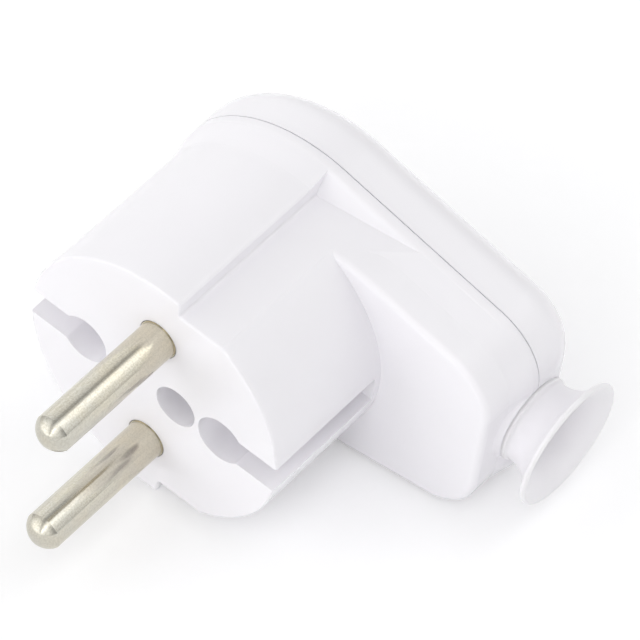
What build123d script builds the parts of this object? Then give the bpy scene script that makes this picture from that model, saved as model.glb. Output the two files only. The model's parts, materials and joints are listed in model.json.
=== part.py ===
"""Right-angle two-pole mains plug with round pins, a screwed back cover and a flared cable guard.

Sizes are in millimetres. The plug's own directions are u, towards the cable, v, along the line of
the two pins, and p, out of the engagement face along the pins. Depths run back from that face.
The plug lies on the straight, tapering side of its housing, so v leans from +Z by the side's taper.
The origin is the middle of the engagement face, halfway between the pins, and the pins point to -Y.
"""

import os
from math import cos, radians, sin, sqrt, tan

from build123d import *

# Pins
pin_spacing = 19.0
pin_diameter = 4.8
pin_reach = 19.0
pin_dome = 1.65
pin_shoulder = 0.1
pin_hole_clearance = 0.1
pin_seat_depth = 6.0
pin_collar_radius = 3.5
pin_collar_thickness = 1.5
pin_head_radius = 3.0
pin_head_chamfer = 0.3
pin_end_recess = 0.7
pin_well_clearance = 0.15

# Barrel and engagement face
barrel_radius = 18.0
flat_drop = 2.15
flat_start = 2.42
flat_step_slant = 0.12
step_foot_round = 0.3
step_top_round = 0.35
face_edge_round = 0.3

# Earth pockets and clip slots
pocket_offset = 10.0
pocket_radius = 3.2
pocket_floor = 3.0
slot_width = 4.0
pocket_throat_round = 0.4

# Side housing, lip and cover
side_taper = 11.3
cable_end = 33.2
end_corner_radius = 8.0
shoulder_depth = 18.2
shoulder_edge_round = 0.8
housing_height = 8.3
lip_band = 1.3
lip_ledge = 0.75
lip_slope = 35.0
lip_edge_round = 0.8
flare_band = 0.85
flare_length = 3.4
flare_sink = 0.2
flare_edge_round = 4.0
side_blend_radius = 20.0
cover_height = 7.8
cover_edge_round = 4.5
parting_gap = 0.15
housing_wall = 2.0
rim_width = 1.6
rebate_depth = 0.9
tongue_height = 0.75
tongue_clearance = 0.1

# Cover screw, its hole and its threaded insert
screw_offset = 3.45
screw_seat_depth = 16.0
screw_head_radius = 2.5
screw_head_clearance = 0.28
screw_head_height = 2.0
screw_slot_width = 0.8
screw_slot_depth = 1.0
screw_radius = 1.5
screw_end_room = 1.5
screw_clearance = 0.2
screw_boss_radius = 4.5
insert_radius = 2.6
insert_length = 5.0
insert_clearance = 0.03
thread_clearance = 0.05

# Terminal screws and wire washers
terminal_head_radius = 2.75
terminal_head_height = 2.0
terminal_screw_length = 6.5
washer_radius = 3.2
washer_thickness = 0.6

# Cord clamp
clamp_room = 0.85
clamp_side_room = 1.2
clamp_bar_width = 5.6
clamp_bar_thickness = 2.5
clamp_hollow = 1.2
clamp_saddle_thickness = 2.0
clamp_saddle_drop = 2.0
clamp_screw_radius = 1.4
clamp_screw_head_radius = 2.5
clamp_screw_length = 9.0
clamp_screw_clearance = 0.1

# Bell-mouth cable guard
cord_radius = 3.6
guard_neck_radius = 5.15
guard_waist_radius = 4.6
guard_collar_radius = 5.45
guard_collar_width = 0.25
guard_collar_blend = 0.6
guard_flange_width = 1.5
guard_flange_room = 0.2
guard_rim_radius = 8.25
guard_rim_thickness = 0.7
guard_rim_round = 0.3
guard_flare_angle = 74.5
guard_boss_foot_round = 0.6
guard_radial_clearance = 0.15
guard_axial_clearance = 0.02

# Derived places
cut_over = 1.0
tiny = 0.01
taper = radians(side_taper)
pin_radius = pin_diameter / 2
pin_shank_radius = pin_radius + pin_shoulder
flange_radius = barrel_radius + lip_ledge
flat_height = barrel_radius - flat_drop
parting_depth = shoulder_depth + housing_height
lip_depth = parting_depth - lip_band
lip_root_inset = lip_ledge + flat_drop + cut_over
lip_root_depth = lip_depth - lip_root_inset * tan(radians(lip_slope))
flare_depth = parting_depth - flare_band
flare_root_inset = lip_ledge + flare_sink
flare_root_depth = flare_depth - flare_length * flare_root_inset / lip_ledge
back_depth = parting_depth + cover_height
cover_inner_depth = back_depth - housing_wall
chamber_inset = lip_ledge + housing_wall
chamber_depth = shoulder_depth + housing_wall
chamber_half_height = flat_height - housing_wall
wall_inside = cable_end - chamber_inset
pin_end_depth = chamber_depth - pin_end_recess
pocket_depth = chamber_depth - pocket_floor
screw_hole_radius = screw_head_radius + screw_head_clearance
screw_length = parting_depth + insert_length - screw_end_room - screw_seat_depth
outlet_radius = guard_waist_radius + guard_radial_clearance
guard_flange_radius = min(cover_height, housing_height) - housing_wall - guard_flange_room
guard_flange_end = wall_inside - guard_axial_clearance
guard_flange_start = guard_flange_end - guard_flange_width
clamp_boss_radius = clamp_bar_width / 2
clamp_position = guard_flange_start - clamp_room - clamp_boss_radius
clamp_half_room = (flange_radius - chamber_inset - clamp_position * sin(taper)) / cos(taper)
clamp_screw_spacing = 2 * (clamp_half_room - clamp_side_room - clamp_boss_radius)
clamp_bar_length = clamp_screw_spacing + clamp_bar_width
clamp_boss_depth = parting_depth + cord_radius - clamp_hollow
clamp_back_depth = clamp_boss_depth + clamp_bar_thickness
clamp_saddle_depth = parting_depth - clamp_saddle_drop

u_dir = Vector(cos(taper), 0, -sin(taper))
v_dir = Vector(sin(taper), 0, cos(taper))
p_dir = Vector(0, -1, 0)
face = Plane(origin=(0, 0, 0), x_dir=u_dir, z_dir=p_dir)


def at_depth(depth):
    """Plane parallel to the engagement face, with x along u and y along v."""
    return face.offset(-depth)


def place(u, v, depth):
    """Point given in the plug's own directions."""
    return face.from_local_coords(Vector(u, v, -depth))


def along_pins(u, v):
    """Plane for turned profiles whose axis is parallel to the pins: x is the radius, y is p."""
    return Plane(origin=place(u, v, 0), x_dir=u_dir, z_dir=-v_dir)


def across_cable(u):
    """Plane square to the cable, centred on the cable's axis."""
    return Plane(origin=place(u, 0, parting_depth), x_dir=v_dir, z_dir=u_dir)


def edges_at_depth(builder, depth):
    """Edges that lie in the plane at a depth."""
    boxes = [(edge, edge.bounding_box()) for edge in builder.edges()]
    return [edge for edge, box in boxes if max(abs(box.min.Y - depth), abs(box.max.Y - depth)) < tiny]


def plan(inset):
    """Egg-shaped plan of the flange: a round end on the plug's axis, and sides that taper to the cable."""
    radius = flange_radius - inset
    end = cable_end - inset
    touch_u = radius * sin(taper)
    touch_v = radius * cos(taper)
    end_v = touch_v - (end - touch_u) * tan(taper)
    with BuildSketch() as outline:
        with BuildLine():
            ThreePointArc((touch_u, -touch_v), (-radius, 0), (touch_u, touch_v))
            Polyline((touch_u, touch_v), (end, end_v), (end, -end_v), (touch_u, -touch_v))
        make_face()
        fillet(outline.vertices().group_by(Axis.X)[-1], end_corner_radius - inset)
    return outline.sketch


def side_cuts():
    """The two regions beyond the flats, right of the slanted steps."""
    far_u = cable_end + cut_over
    far_v = barrel_radius + cut_over
    slant = flat_step_slant / flat_drop
    step_top = flat_start - slant * (far_v - flat_height)
    with BuildSketch() as cuts:
        for side in (1, -1):
            with BuildLine():
                Polyline(
                    (flat_start, side * flat_height),
                    (far_u, side * flat_height),
                    (far_u, side * far_v),
                    (step_top, side * far_v),
                    close=True,
                )
            make_face()
        feet = [v for v in cuts.vertices() if abs(v.X - flat_start) + abs(abs(v.Y) - flat_height) < tiny]
        fillet(feet, step_foot_round)
    return cuts.sketch


def barrel():
    """Round barrel with the two flats cut away."""
    with BuildSketch() as outline:
        Circle(barrel_radius)
        add(side_cuts(), mode=Mode.SUBTRACT)
        step_tops = [v for v in outline.vertices() if abs(v.Y) > barrel_radius - flat_drop / 2]
        fillet(step_tops, step_top_round)
    return outline.sketch


def housing():
    """Outline of the side housing: the flats, bending gently into the tapering sides."""
    with BuildSketch() as outline:
        add(plan(lip_ledge))
        with Locations((flat_start + cable_end, 0)):
            Rectangle(2 * cable_end, 2 * flat_height, mode=Mode.INTERSECT)
        on_flats = [v for v in outline.vertices() if abs(abs(v.Y) - flat_height) < tiny]
        fillet([v for v in on_flats if v.X > flat_start + tiny], side_blend_radius)
    return outline.sketch


def pocket_cut(side):
    """Earth pocket with its clip slot, which opens to the barrel's side."""
    slot_end = barrel_radius + cut_over
    throat = pocket_offset + sqrt(pocket_radius**2 - (slot_width / 2) ** 2)
    with BuildSketch() as cut:
        with Locations((side * pocket_offset, 0)):
            Circle(pocket_radius)
        with Locations((side * (pocket_offset + slot_end) / 2, 0)):
            Rectangle(slot_end - pocket_offset, slot_width)
        corners = [v for v in cut.vertices() if abs(abs(v.X) - throat) < tiny]
        fillet(corners, pocket_throat_round)
    return cut.sketch


def lip(front_depth, root_inset, root_depth, edge_round):
    """Band along the parting plane with a front that slopes in to the root, rounded where it turns."""
    with BuildPart() as ring:
        with BuildSketch(at_depth(parting_depth)):
            add(lip_plan)
        extrude(amount=parting_depth - front_depth)
        with BuildSketch(at_depth(front_depth)):
            add(lip_plan)
        with BuildSketch(at_depth(root_depth)):
            add(plan(root_inset))
        loft(ruled=True)
        fillet(edges_at_depth(ring, front_depth), edge_round)
    return ring.part


lip_plan = plan(0)
housing_plan = housing()
chamber_plan = plan(chamber_inset)
rebate_plan = plan(rim_width)
tongue_plan = plan(rim_width + tongue_clearance)
barrel_plan = barrel()
pockets = [pocket_cut(side) for side in (1, -1)]
pin_places = {"line": pin_spacing / 2, "neutral": -pin_spacing / 2}
clamp_places = [(clamp_position, side * clamp_screw_spacing / 2) for side in (1, -1)]

os.makedirs("parts", exist_ok=True)

# Front moulding: housing, lip and barrel outside, wiring chamber and pin wells inside
with BuildPart() as plug_body:
    # Lip that flares out of the barrel and housing, and stands steeply over the grooves
    add(lip(flare_depth, flare_root_inset, flare_root_depth, flare_edge_round))
    with BuildSketch(at_depth(parting_depth)):
        add(side_cuts())
    extrude(amount=parting_depth - flare_root_depth + cut_over, mode=Mode.SUBTRACT)
    add(lip(lip_depth, lip_root_inset, lip_root_depth, lip_edge_round))

    with BuildSketch(at_depth(lip_depth)):
        add(housing_plan)
    extrude(amount=lip_depth - shoulder_depth)
    shoulder = plug_body.faces().sort_by(Axis.Y)[0]
    fillet(shoulder.edges(), shoulder_edge_round)

    with BuildSketch(at_depth(lip_depth)):
        add(barrel_plan)
    extrude(amount=lip_depth)
    front = plug_body.faces().sort_by(Axis.Y)[0]
    fillet(front.edges(), face_edge_round)

    with BuildSketch(at_depth(pocket_depth)):
        for cut in pockets:
            add(cut)
    extrude(amount=pocket_depth + cut_over, mode=Mode.SUBTRACT)

    # Wiring chamber, left standing round the screw boss
    with BuildSketch(at_depth(parting_depth + cut_over)):
        add(chamber_plan)
        Rectangle(2 * cable_end, 2 * chamber_half_height, mode=Mode.INTERSECT)
        with Locations((screw_offset, 0)):
            Circle(screw_boss_radius, mode=Mode.SUBTRACT)
    extrude(amount=parting_depth + cut_over - chamber_depth, mode=Mode.SUBTRACT)
    with BuildSketch(at_depth(parting_depth + cut_over)):
        add(rebate_plan)
        with Locations((screw_offset, 0)):
            Circle(screw_boss_radius, mode=Mode.SUBTRACT)
    extrude(amount=cut_over + rebate_depth, mode=Mode.SUBTRACT)

    # Bosses and saddle rib of the cord clamp
    with BuildSketch(at_depth(clamp_boss_depth)):
        with Locations(*clamp_places):
            Circle(clamp_boss_radius)
    extrude(amount=clamp_boss_depth - chamber_depth)
    with BuildSketch(at_depth(clamp_saddle_depth)):
        with Locations((clamp_position, 0)):
            Rectangle(clamp_saddle_thickness, clamp_screw_spacing)
    extrude(amount=clamp_saddle_depth - chamber_depth)
    with BuildSketch(at_depth(clamp_boss_depth)):
        with Locations(*clamp_places):
            Circle(clamp_screw_radius + clamp_screw_clearance)
    extrude(amount=clamp_screw_length - clamp_bar_thickness, mode=Mode.SUBTRACT)
    with BuildSketch(across_cable(clamp_position - clamp_boss_radius)):
        Circle(cord_radius)
    extrude(amount=2 * clamp_boss_radius, mode=Mode.SUBTRACT)

    # Half boss that carries the guard's collar, flowing out of the end wall, and the cable outlet
    boss_foot = (cable_end - lip_ledge, guard_collar_radius + guard_boss_foot_round)
    boss_side = (cable_end - lip_ledge + guard_boss_foot_round, guard_collar_radius)
    with BuildSketch(at_depth(parting_depth)):
        with BuildLine():
            TangentArc(boss_side, boss_foot, tangent=(-1, 0))
            Polyline(
                boss_foot,
                (cable_end - rim_width, guard_collar_radius),
                (cable_end - rim_width, 0),
                (cable_end, 0),
                (cable_end, guard_collar_radius),
                boss_side,
            )
        make_face()
    revolve(axis=Axis(place(0, 0, parting_depth), u_dir), revolution_arc=180)
    with BuildSketch(across_cable(wall_inside - cut_over)):
        Circle(outlet_radius)
    extrude(amount=chamber_inset + 2 * cut_over, mode=Mode.SUBTRACT)

    # Pin holes and wells, and the stepped screw hole
    with BuildSketch(at_depth(pin_seat_depth)):
        with Locations(*[(0, v) for v in pin_places.values()]):
            Circle(pin_shank_radius + pin_hole_clearance)
    extrude(amount=pin_seat_depth + cut_over, mode=Mode.SUBTRACT)
    with BuildSketch(at_depth(chamber_depth + cut_over)):
        with Locations(*[(0, v) for v in pin_places.values()]):
            Circle(pin_collar_radius + pin_well_clearance)
    extrude(amount=chamber_depth + cut_over - pin_seat_depth, mode=Mode.SUBTRACT)
    with BuildSketch(at_depth(screw_seat_depth)):
        with Locations((screw_offset, 0)):
            Circle(screw_hole_radius)
    extrude(amount=screw_seat_depth + cut_over, mode=Mode.SUBTRACT)
    with BuildSketch(at_depth(parting_depth + cut_over)):
        with Locations((screw_offset, 0)):
            Circle(screw_radius + screw_clearance)
    extrude(amount=parting_depth + cut_over - screw_seat_depth, mode=Mode.SUBTRACT)

plug_body.part.label = "plug_body"
export_step(plug_body.part, "parts/plug_body.step")

# Back cover: a shell with a rounded back, a tongue that enters the body's rebate, and a screw boss
with BuildPart() as back_cover:
    with BuildSketch(at_depth(back_depth)):
        add(lip_plan)
    extrude(amount=cover_height - parting_gap)
    back = back_cover.faces().sort_by(Axis.Y)[-1]
    fillet(back.edges(), cover_edge_round)
    with BuildSketch(at_depth(parting_depth + parting_gap)):
        add(tongue_plan)
    extrude(amount=parting_gap + tongue_height)
    with BuildSketch(at_depth(cover_inner_depth)):
        add(chamber_plan)
        with Locations((screw_offset, 0)):
            Circle(screw_boss_radius, mode=Mode.SUBTRACT)
    extrude(amount=cover_height + tongue_height, mode=Mode.SUBTRACT)
    with BuildSketch(at_depth(parting_depth)):
        with Locations((screw_offset, 0)):
            Circle(screw_boss_radius + cut_over)
    extrude(amount=tongue_height + cut_over, mode=Mode.SUBTRACT)
    with BuildSketch(across_cable(wall_inside - cut_over)):
        Circle(outlet_radius)
    extrude(amount=chamber_inset + 2 * cut_over, mode=Mode.SUBTRACT)
    with BuildSketch(at_depth(parting_depth + insert_length)):
        with Locations((screw_offset, 0)):
            Circle(insert_radius + insert_clearance)
    extrude(amount=insert_length + cut_over, mode=Mode.SUBTRACT)

back_cover.part.label = "back_cover"
export_step(back_cover.part, "parts/back_cover.step")

# Pins: domed tip, thicker shank in the body, seating collar, and a terminal head with a tapped end
for pole, v in pin_places.items():
    with BuildPart() as pin:
        with BuildSketch(along_pins(0, v)):
            with BuildLine():
                TangentArc((0, pin_reach), (pin_radius, pin_reach - pin_dome), tangent=(1, 0))
                Polyline(
                    (pin_radius, pin_reach - pin_dome),
                    (pin_radius, 0),
                    (pin_shank_radius, 0),
                    (pin_shank_radius, -pin_seat_depth),
                    (pin_collar_radius, -pin_seat_depth),
                    (pin_collar_radius, -pin_seat_depth - pin_collar_thickness),
                    (pin_head_radius, -pin_seat_depth - pin_collar_thickness),
                    (pin_head_radius, -pin_end_depth + pin_head_chamfer),
                    (pin_head_radius - pin_head_chamfer, -pin_end_depth),
                    (0, -pin_end_depth),
                    (0, pin_reach),
                )
            make_face()
        revolve(axis=Axis(place(0, v, 0), p_dir))
        with BuildSketch(at_depth(pin_end_depth)):
            with Locations((0, v)):
                Circle(screw_radius + thread_clearance)
        extrude(amount=terminal_screw_length, mode=Mode.SUBTRACT)
    pin.part.label = f"{pole}_pin"
    export_step(pin.part, f"parts/{pole}_pin.step")

    with BuildPart() as washer:
        with BuildSketch(at_depth(pin_end_depth + washer_thickness)):
            with Locations((0, v)):
                Circle(washer_radius)
                Circle(screw_radius + thread_clearance, mode=Mode.SUBTRACT)
        extrude(amount=washer_thickness)
    washer.part.label = f"{pole}_wire_washer"
    export_step(washer.part, f"parts/{pole}_wire_washer.step")

    head_depth = pin_end_depth + washer_thickness + terminal_head_height
    with BuildPart() as terminal_screw:
        with BuildSketch(at_depth(head_depth)):
            with Locations((0, v)):
                Circle(terminal_head_radius)
        extrude(amount=terminal_head_height)
        with BuildSketch(at_depth(head_depth)):
            with Locations((0, v)):
                Circle(screw_radius)
        extrude(amount=terminal_head_height + terminal_screw_length)
        with BuildSketch(at_depth(head_depth)):
            with Locations((0, v)):
                Rectangle(2 * terminal_head_radius, screw_slot_width)
        extrude(amount=screw_slot_depth, mode=Mode.SUBTRACT)
    terminal_screw.part.label = f"{pole}_terminal_screw"
    export_step(terminal_screw.part, f"parts/{pole}_terminal_screw.step")

# Cover screw, from the engagement face into the cover's insert
with BuildPart() as cover_screw:
    with BuildSketch(at_depth(screw_seat_depth)):
        with Locations((screw_offset, 0)):
            Circle(screw_head_radius)
    extrude(amount=screw_head_height)
    with BuildSketch(at_depth(screw_seat_depth)):
        with Locations((screw_offset, 0)):
            Circle(screw_radius)
    extrude(amount=-screw_length)
    with BuildSketch(at_depth(screw_seat_depth - screw_head_height)):
        with Locations((screw_offset, 0)):
            Rectangle(screw_slot_width, 2 * screw_head_radius)
    extrude(amount=-screw_slot_depth, mode=Mode.SUBTRACT)
cover_screw.part.label = "cover_screw"
export_step(cover_screw.part, "parts/cover_screw.step")

# Brass insert, moulded into the cover's boss
with BuildPart() as threaded_insert:
    with BuildSketch(at_depth(parting_depth + insert_length)):
        with Locations((screw_offset, 0)):
            Circle(insert_radius)
            Circle(screw_radius + thread_clearance, mode=Mode.SUBTRACT)
    extrude(amount=insert_length)
threaded_insert.part.label = "threaded_insert"
export_step(threaded_insert.part, "parts/threaded_insert.step")

# Cord clamp: a bar on the two bosses, hollowed over the cord, with countersunk screws
with BuildPart() as cord_clamp:
    with BuildSketch(at_depth(clamp_back_depth)):
        with Locations((clamp_position, 0)):
            SlotOverall(clamp_bar_length, clamp_bar_width, rotation=90)
    extrude(amount=clamp_bar_thickness)
    with BuildSketch(across_cable(clamp_position - clamp_bar_width)):
        Circle(cord_radius)
    extrude(amount=2 * clamp_bar_width, mode=Mode.SUBTRACT)
    for u, v in clamp_places:
        with BuildSketch(along_pins(u, v)):
            with BuildLine():
                Polyline(
                    (0, -clamp_boss_depth + cut_over),
                    (clamp_screw_radius + clamp_screw_clearance, -clamp_boss_depth + cut_over),
                    (
                        clamp_screw_radius + clamp_screw_clearance,
                        clamp_screw_head_radius - clamp_screw_radius - clamp_back_depth,
                    ),
                    (clamp_screw_head_radius + clamp_screw_clearance, -clamp_back_depth),
                    (0, -clamp_back_depth),
                    close=True,
                )
            make_face()
        revolve(axis=Axis(place(u, v, 0), p_dir), mode=Mode.SUBTRACT)
cord_clamp.part.label = "cord_clamp"
export_step(cord_clamp.part, "parts/cord_clamp.step")

with BuildPart() as cord_clamp_screws:
    for u, v in clamp_places:
        with BuildSketch(along_pins(u, v)):
            with BuildLine():
                Polyline(
                    (0, clamp_screw_length - clamp_back_depth),
                    (clamp_screw_radius, clamp_screw_length - clamp_back_depth),
                    (
                        clamp_screw_radius,
                        clamp_screw_head_radius - clamp_screw_radius - clamp_back_depth,
                    ),
                    (clamp_screw_head_radius, -clamp_back_depth),
                    (0, -clamp_back_depth),
                    close=True,
                )
            make_face()
        revolve(axis=Axis(place(u, v, 0), p_dir))
cord_clamp_screws.part.label = "cord_clamp_screws"
export_step(cord_clamp_screws.part, "parts/cord_clamp_screws.step")

# Bell-mouth guard: a grommet in the end wall, flared outside, with a funnel for the cord
flare = radians(guard_flare_angle)
collar_start = cable_end + guard_axial_clearance
collar_end = collar_start + guard_collar_width
blend_middle = (collar_end + guard_collar_blend / 2, (guard_collar_radius + guard_neck_radius) / 2)
flare_start = collar_end + guard_collar_blend
flare_radius = (guard_rim_radius - guard_neck_radius) / (1 - cos(flare))
rim_outside = Vector(flare_start + flare_radius * sin(flare), guard_rim_radius)
rim_inside = rim_outside + Vector(sin(flare), -cos(flare)) * guard_rim_thickness
funnel_start = rim_inside.X - (rim_inside.Y - cord_radius) / (1 - cos(flare)) * sin(flare)
with BuildPart() as cable_bell_mouth:
    with BuildSketch(Plane(origin=place(0, 0, parting_depth), x_dir=u_dir, z_dir=-v_dir)) as profile:
        with BuildLine():
            Polyline(
                (funnel_start, cord_radius),
                (guard_flange_start, cord_radius),
                (guard_flange_start, guard_flange_radius),
                (guard_flange_end, guard_flange_radius),
                (guard_flange_end, guard_waist_radius),
                (collar_start, guard_waist_radius),
                (collar_start, guard_collar_radius),
                (collar_end, guard_collar_radius),
            )
            TangentArc((collar_end, guard_collar_radius), blend_middle, tangent=(1, 0))
            TangentArc((flare_start, guard_neck_radius), blend_middle, tangent=(-1, 0))
            TangentArc((flare_start, guard_neck_radius), rim_outside, tangent=(1, 0))
            Line(rim_outside, rim_inside)
            TangentArc((funnel_start, cord_radius), rim_inside, tangent=(1, 0))
        make_face()
        fillet(profile.vertices().sort_by(Axis.X)[-2:], guard_rim_round)
    revolve(axis=Axis(place(0, 0, parting_depth), u_dir))
cable_bell_mouth.part.label = "cable_bell_mouth"
export_step(cable_bell_mouth.part, "parts/cable_bell_mouth.step")
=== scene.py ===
"""Looks for the right-angle mains plug: materials, floor, soft light and the photo's camera."""

import json
from math import pi

import bpy
from mathutils import Matrix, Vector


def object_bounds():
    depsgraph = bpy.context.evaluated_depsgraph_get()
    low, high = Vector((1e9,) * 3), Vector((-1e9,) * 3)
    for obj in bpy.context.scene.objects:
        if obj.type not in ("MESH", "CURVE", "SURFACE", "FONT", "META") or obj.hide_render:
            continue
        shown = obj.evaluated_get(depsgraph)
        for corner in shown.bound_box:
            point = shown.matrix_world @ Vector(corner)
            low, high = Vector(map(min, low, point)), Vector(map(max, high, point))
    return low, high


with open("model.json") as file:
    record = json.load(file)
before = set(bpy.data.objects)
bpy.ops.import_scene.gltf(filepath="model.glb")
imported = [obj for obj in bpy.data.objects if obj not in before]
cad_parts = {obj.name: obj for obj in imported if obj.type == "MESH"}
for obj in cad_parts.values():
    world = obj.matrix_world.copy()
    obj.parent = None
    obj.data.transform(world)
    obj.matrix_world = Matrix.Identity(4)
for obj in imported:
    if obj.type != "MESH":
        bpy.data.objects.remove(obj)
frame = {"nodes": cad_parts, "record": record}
cad_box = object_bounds()

# Camera fitted to the photo: its place in metres, and the directions of its right, up and back
CAMERA_PLACE = (0.27502, -0.26720, 0.41128)
CAMERA_RIGHT = (0.7687, 0.6373, -0.0546)
CAMERA_UP = (-0.4340, 0.5824, 0.6874)
CAMERA_BACK = (0.4698, -0.5047, 0.7243)
CAMERA_LENS = 284.2
CAMERA_SENSOR = 36.0
CAMERA_NEAR = 0.01

# Colours, in linear values
WHITE = (1.0, 1.0, 1.0)
WHITE_PLASTIC = (0.964, 0.947, 0.988)
GUARD_PLASTIC = (0.900, 0.886, 0.914)
DUST = (0.28, 0.25, 0.22)
NICKEL = (0.635, 0.618, 0.549)
# NICKEL_WARM is the pins' tone at the root, warmer and lighter as a painted reflection of the face
# there; a darker copy of it tints the grain
NICKEL_WARM = (0.714, 0.650, 0.507)
BRASS = (0.640, 0.430, 0.160)
STEEL = (0.560, 0.560, 0.550)
FLOOR = (0.930, 0.930, 0.935)

# Roughness of each surface, and how much of the plastics' light is scattered inside them
WHITE_ROUGHNESS = 0.24
WHITE_SCATTER = 0.25
GUARD_ROUGHNESS = 0.34
GUARD_SCATTER = 0.9
NICKEL_ROUGHNESS = 0.14
BRASS_ROUGHNESS = 0.25
STEEL_ROUGHNESS = 0.28
FLOOR_ROUGHNESS = 0.8

# Faint tone changes of the plastics and the floor: the noise values they run over, and the darker tone
FAINT_RANGE = (0.3, 0.7)
FAINT_SHADE = 0.985

# Plastics: noise scales per metre, the gloss that varies with the flow, and rare dust specks
CLOUD_SCALE = 60.0
CLOUD_DETAIL = 3.0
FLOW_SCALE = 180.0
FLOW_DETAIL = 1.0
FLOW_GLOSS = 0.02
SPECK_SCALE = 210.0
SPECK_EDGE = (0.03, 0.07)
SPECK_ABOVE = 0.965
SPECK_STRENGTH = 0.35

# Metals: marks drawn out along Y, blotches, a fine grain, and the zone on Y where the tone warms
# towards the root, a painted reflection
MARK_STRETCH = (1.0, 0.04, 1.0)
MARK_SCALE = 4200.0
MARK_DETAIL = 3.0
MARK_ROUGHNESS = 0.6
MARK_RANGE = (0.35, 0.65)
MARK_STRENGTH = 0.15
MARK_SHADE = 0.6
MARK_GLOSS = 0.07
BLOTCH_SCALE = 320.0
BLOTCH_DETAIL = 3.0
BLOTCH_RANGE = (0.35, 0.7)
BLOTCH_WARMTH = 0.35
GRAIN_SCALE = 4600.0
GRAIN_DETAIL = 2.0
GRAIN_RANGE = (0.42, 0.62)
GRAIN_STRENGTH = 0.20
GRAIN_SHADE = 0.5
# Painted reflection: the span of Y over which the tone turns warmer and lighter towards the pins'
# root, and how strongly
ROOT_REFLECTION_ZONE = (-0.017, 0.002)
ROOT_REFLECTION_STRENGTH = 0.65

# Floor: half its side in metres, its paper grain, and what lifts it to white for the camera
FLOOR_HALF = 3.0
PAPER_SCALE = 900.0
PAPER_DETAIL = 2.0
FLOOR_LIFT = 0.19

# Light tent: brightness at angles over its roof, from the side of +X at 0 to the side of -X at 180
TENT = (
    (0, 0.62),
    (12, 0.91),
    (24, 0.88),
    (35, 0.94),
    (44, 1.02),
    (53, 1.24),
    (63, 1.38),
    (74, 1.34),
    (81, 0.67),
    (90, 0.34),
    (101, 0.41),
    (109, 0.70),
    (120, 0.73),
    (131, 0.82),
    (156, 0.90),
    (180, 0.82),
)
TENT_SWEEP = 180.0
TENT_PEAK = 1.5

# The tent's level, with a fill in front, a band of light behind and a shade at the right
TENT_LEVEL = 0.72
FRONT_RANGE = (-0.9, 0.1)
FRONT_FILL = 1.30
BACK_START = (0.10, 0.35)
BACK_END = (0.64, 0.85)
BACK_FILL = 0.59
RIGHT_DIRECTION = (0.87, -0.50, 0.0)
RIGHT_RANGE = (0.3, 0.9)
RIGHT_SHADE = 0.73


class Nodes:
    """Short calls for building one material's or the world's node tree."""

    def __init__(self, owner):
        owner.use_nodes = True
        self.tree = owner.node_tree
        self.tree.nodes.clear()

    def feed(self, socket, value):
        if isinstance(value, bpy.types.NodeSocket):
            self.tree.links.new(value, socket)
        else:
            socket.default_value = value

    def add(self, kind, inputs=None, **settings):
        node = self.tree.nodes.new(kind)
        for name, value in settings.items():
            setattr(node, name, value)
        for socket, value in (inputs or {}).items():
            self.feed(node.inputs[socket], value)
        return node

    def math(self, operation, *values, clamp=False):
        inputs = dict(enumerate(values))
        node = self.add("ShaderNodeMath", inputs, operation=operation, use_clamp=clamp)
        return node.outputs[0]

    def dot(self, vector, fixed):
        inputs = {0: vector, 1: fixed}
        node = self.add("ShaderNodeVectorMath", inputs, operation="DOT_PRODUCT")
        return node.outputs["Value"]

    def noise(self, vector, scale, detail, roughness=0.5):
        inputs = {"Vector": vector, "Scale": scale, "Detail": detail, "Roughness": roughness}
        return self.add("ShaderNodeTexNoise", inputs).outputs["Fac"]

    def spread(self, value, span, ends=(0.0, 1.0)):
        """Eases from the first end to the second while the value runs over the span."""
        inputs = {
            "Value": value,
            "From Min": span[0],
            "From Max": span[1],
            "To Min": ends[0],
            "To Max": ends[1],
        }
        node = self.add("ShaderNodeMapRange", inputs, interpolation_type="SMOOTHSTEP")
        return node.outputs["Result"]

    def mix(self, factor, a, b):
        """Mixes two colours; the node's colour sockets have no names of their own, only places."""
        return self.add("ShaderNodeMix", {0: factor, 6: a, 7: b}, data_type="RGBA").outputs[2]


def opaque(colour):
    return (*colour, 1.0)


def shaded(colour, share):
    return opaque([c * share for c in colour])


def plastic(name, colour, roughness, scatter):
    """Moulded white plastic: faint cloudiness, a slightly wavy gloss and a few dust specks."""
    material = bpy.data.materials.new(name)
    n = Nodes(material)
    place = n.add("ShaderNodeTexCoord").outputs["Object"]
    cloud = n.noise(place, CLOUD_SCALE, CLOUD_DETAIL)
    flow = n.noise(place, FLOW_SCALE, FLOW_DETAIL)
    tint = n.mix(n.spread(cloud, FAINT_RANGE), opaque(colour), shaded(colour, FAINT_SHADE))
    cells = n.add(
        "ShaderNodeTexVoronoi", {"Vector": place, "Scale": SPECK_SCALE, "Randomness": 1.0}
    ).outputs
    draw = n.add("ShaderNodeSeparateColor", {"Color": cells["Color"]}).outputs[0]
    near = n.spread(cells["Distance"], SPECK_EDGE, (1.0, 0.0))
    chosen = n.math("GREATER_THAN", draw, SPECK_ABOVE)
    speck = n.math("MULTIPLY", n.math("MULTIPLY", near, chosen), SPECK_STRENGTH)
    base = n.mix(speck, tint, opaque(DUST))
    gloss = n.spread(flow, FAINT_RANGE, (roughness - FLOW_GLOSS, roughness + FLOW_GLOSS))
    bump = n.add("ShaderNodeBump", {"Strength": 0.05, "Distance": 0.0001, "Height": flow})
    shader = n.add(
        "ShaderNodeBsdfPrincipled",
        {
            "Base Color": base,
            "Roughness": gloss,
            "Normal": bump.outputs["Normal"],
            "IOR": 1.5,
            "Subsurface Weight": scatter,
            "Subsurface Radius": (1.0, 1.0, 1.0),
            "Subsurface Scale": 0.001,
        },
    )
    n.add("ShaderNodeOutputMaterial", {"Surface": shader.outputs["BSDF"]})
    return material


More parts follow.
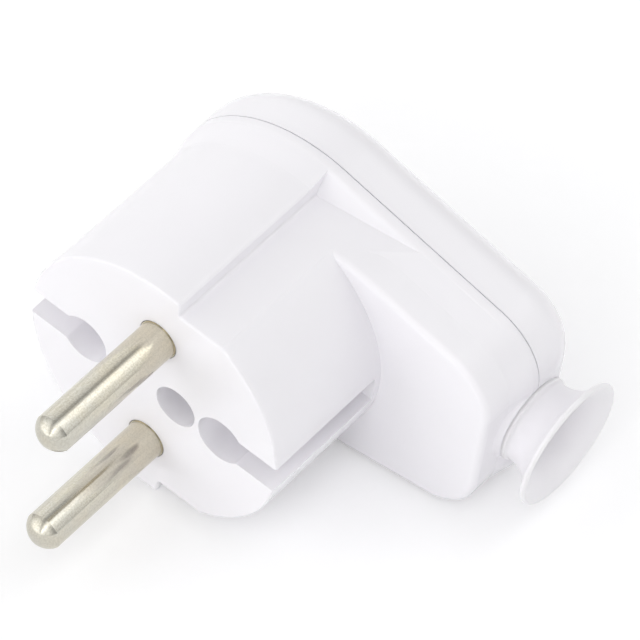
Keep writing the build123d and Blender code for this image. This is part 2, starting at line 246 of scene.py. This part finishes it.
def drawn_metal(name, colour, warm, roughness):
    """Metal with fine marks along Y and a fine grain; over the root zone its tone turns towards the
    warm colour, a painted reflection.
    """
    material = bpy.data.materials.new(name)
    n = Nodes(material)
    place = n.add("ShaderNodeTexCoord").outputs["Object"]
    along = n.add("ShaderNodeSeparateXYZ", {"Vector": place}).outputs["Y"]
    stretched = n.add("ShaderNodeMapping", {"Vector": place, "Scale": MARK_STRETCH})
    lines = n.noise(stretched.outputs["Vector"], MARK_SCALE, MARK_DETAIL, MARK_ROUGHNESS)
    blotch = n.noise(place, BLOTCH_SCALE, BLOTCH_DETAIL)
    speckle = n.noise(place, GRAIN_SCALE, GRAIN_DETAIL)
    marks = n.spread(lines, MARK_RANGE)
    mottled = n.spread(blotch, BLOTCH_RANGE, (0.0, BLOTCH_WARMTH))
    # Painted reflection: the tone turns warmer and lighter towards the root, mixed with the blotches'
    # random warmth
    zone = n.spread(along, ROOT_REFLECTION_ZONE)
    warmth = n.math("MULTIPLY_ADD", zone, ROOT_REFLECTION_STRENGTH, mottled, clamp=True)
    tone = n.mix(warmth, opaque(colour), opaque(warm))
    marked = n.mix(n.math("MULTIPLY", marks, MARK_STRENGTH), tone, shaded(colour, MARK_SHADE))
    grain = n.spread(speckle, GRAIN_RANGE, (0.0, GRAIN_STRENGTH))
    base = n.mix(grain, marked, shaded(warm, GRAIN_SHADE))
    gloss = n.math("MULTIPLY_ADD", marks, MARK_GLOSS, roughness)
    bump = n.add("ShaderNodeBump", {"Strength": 0.2, "Distance": 0.00002, "Height": lines})
    shader = n.add(
        "ShaderNodeBsdfPrincipled",
        {
            "Base Color": base,
            "Metallic": 1.0,
            "Roughness": gloss,
            "Normal": bump.outputs["Normal"],
        },
    )
    n.add("ShaderNodeOutputMaterial", {"Surface": shader.outputs["BSDF"]})
    return material


def floor_material():
    """Pale paper floor that keeps the soft shadow and stays close to white for the camera."""
    material = bpy.data.materials.new("floor_paper")
    n = Nodes(material)
    place = n.add("ShaderNodeTexCoord").outputs["Object"]
    grain = n.noise(place, PAPER_SCALE, PAPER_DETAIL)
    tone = n.mix(n.spread(grain, FAINT_RANGE), opaque(FLOOR), shaded(FLOOR, FAINT_SHADE))
    diffuse = n.add("ShaderNodeBsdfDiffuse", {"Color": tone, "Roughness": FLOOR_ROUGHNESS})
    rays = n.add("ShaderNodeLightPath").outputs
    seen = n.math("MAXIMUM", rays["Is Camera Ray"], rays["Is Glossy Ray"])
    seen = n.math("MAXIMUM", seen, rays["Is Transmission Ray"])
    strength = n.math("MULTIPLY", seen, FLOOR_LIFT)
    lift = n.add("ShaderNodeEmission", {"Color": opaque(WHITE), "Strength": strength})
    total = n.add("ShaderNodeAddShader", {0: diffuse.outputs[0], 1: lift.outputs[0]})
    n.add("ShaderNodeOutputMaterial", {"Surface": total.outputs[0]})
    return material


def studio_world():
    """Light tent: a roof of changing brightness, filled in front and behind, shaded at the right."""
    world = bpy.data.worlds.new("light_tent")
    bpy.context.scene.world = world
    n = Nodes(world)
    direction = n.add("ShaderNodeTexCoord").outputs["Generated"]
    axes = n.add("ShaderNodeSeparateXYZ", {"Vector": direction}).outputs
    over_roof = n.math("DIVIDE", n.math("ARCTAN2", axes["Z"], axes["X"]), pi, clamp=True)
    ramp = n.add("ShaderNodeValToRGB", {"Fac": over_roof})
    stops = ramp.color_ramp.elements
    while len(stops) < len(TENT):
        stops.new(0.5)
    for stop, (angle, brightness) in zip(stops, TENT):
        stop.position = angle / TENT_SWEEP
        stop.color = opaque([brightness / TENT_PEAK] * 3)
    tent = n.math("MULTIPLY", ramp.outputs["Color"], TENT_PEAK)
    front = n.spread(axes["Y"], FRONT_RANGE, (FRONT_FILL, 0.0))
    back_start = n.spread(axes["Y"], BACK_START, (0.0, BACK_FILL))
    back_end = n.spread(axes["Y"], BACK_END, (1.0, 0.0))
    back = n.math("MULTIPLY", back_start, back_end)
    right = n.spread(n.dot(direction, RIGHT_DIRECTION), RIGHT_RANGE, (0.0, RIGHT_SHADE))
    fills = n.math("SUBTRACT", n.math("ADD", front, back), right)
    level = n.math("ADD", fills, TENT_LEVEL)
    light = n.math("MULTIPLY", tent, level)
    background = n.add("ShaderNodeBackground", {"Color": opaque(WHITE), "Strength": light})
    n.add("ShaderNodeOutputWorld", {"Surface": background.outputs[0]})


finishes = {
    "white_plastic": plastic(
        "white_plastic_look", WHITE_PLASTIC, WHITE_ROUGHNESS, WHITE_SCATTER
    ),
    "guard_plastic": plastic(
        "guard_plastic_look", GUARD_PLASTIC, GUARD_ROUGHNESS, GUARD_SCATTER
    ),
    "plated_brass": drawn_metal("plated_brass_look", NICKEL, NICKEL_WARM, NICKEL_ROUGHNESS),
    "bare_brass": drawn_metal("bare_brass_look", BRASS, BRASS, BRASS_ROUGHNESS),
    "plated_steel": drawn_metal("plated_steel_look", STEEL, STEEL, STEEL_ROUGHNESS),
}
for part in frame["record"]["subparts"]:
    for holder in frame["nodes"][part["node"]].material_slots:
        holder.material = finishes[part["material_slot"]]

floor_level = cad_box[0][2]
floor_signs = ((-1, -1), (1, -1), (1, 1), (-1, 1))
floor_corners = [(x * FLOOR_HALF, y * FLOOR_HALF, floor_level) for x, y in floor_signs]
floor_mesh = bpy.data.meshes.new("floor")
floor_mesh.from_pydata(floor_corners, [], [(0, 1, 2, 3)])
floor = bpy.data.objects.new("floor", floor_mesh)
floor_mesh.materials.append(floor_material())
bpy.context.scene.collection.objects.link(floor)

studio_world()

camera_data = bpy.data.cameras.new("photo_camera")
camera_data.lens = CAMERA_LENS
camera_data.sensor_width = CAMERA_SENSOR
camera_data.clip_start = CAMERA_NEAR
camera = bpy.data.objects.new("photo_camera", camera_data)
camera_turn = Matrix((CAMERA_RIGHT, CAMERA_UP, CAMERA_BACK)).transposed().to_4x4()
camera.matrix_world = Matrix.Translation(CAMERA_PLACE) @ camera_turn
bpy.context.scene.collection.objects.link(camera)
bpy.context.scene.camera = camera
bpy.context.scene.view_settings.view_transform = "Standard"
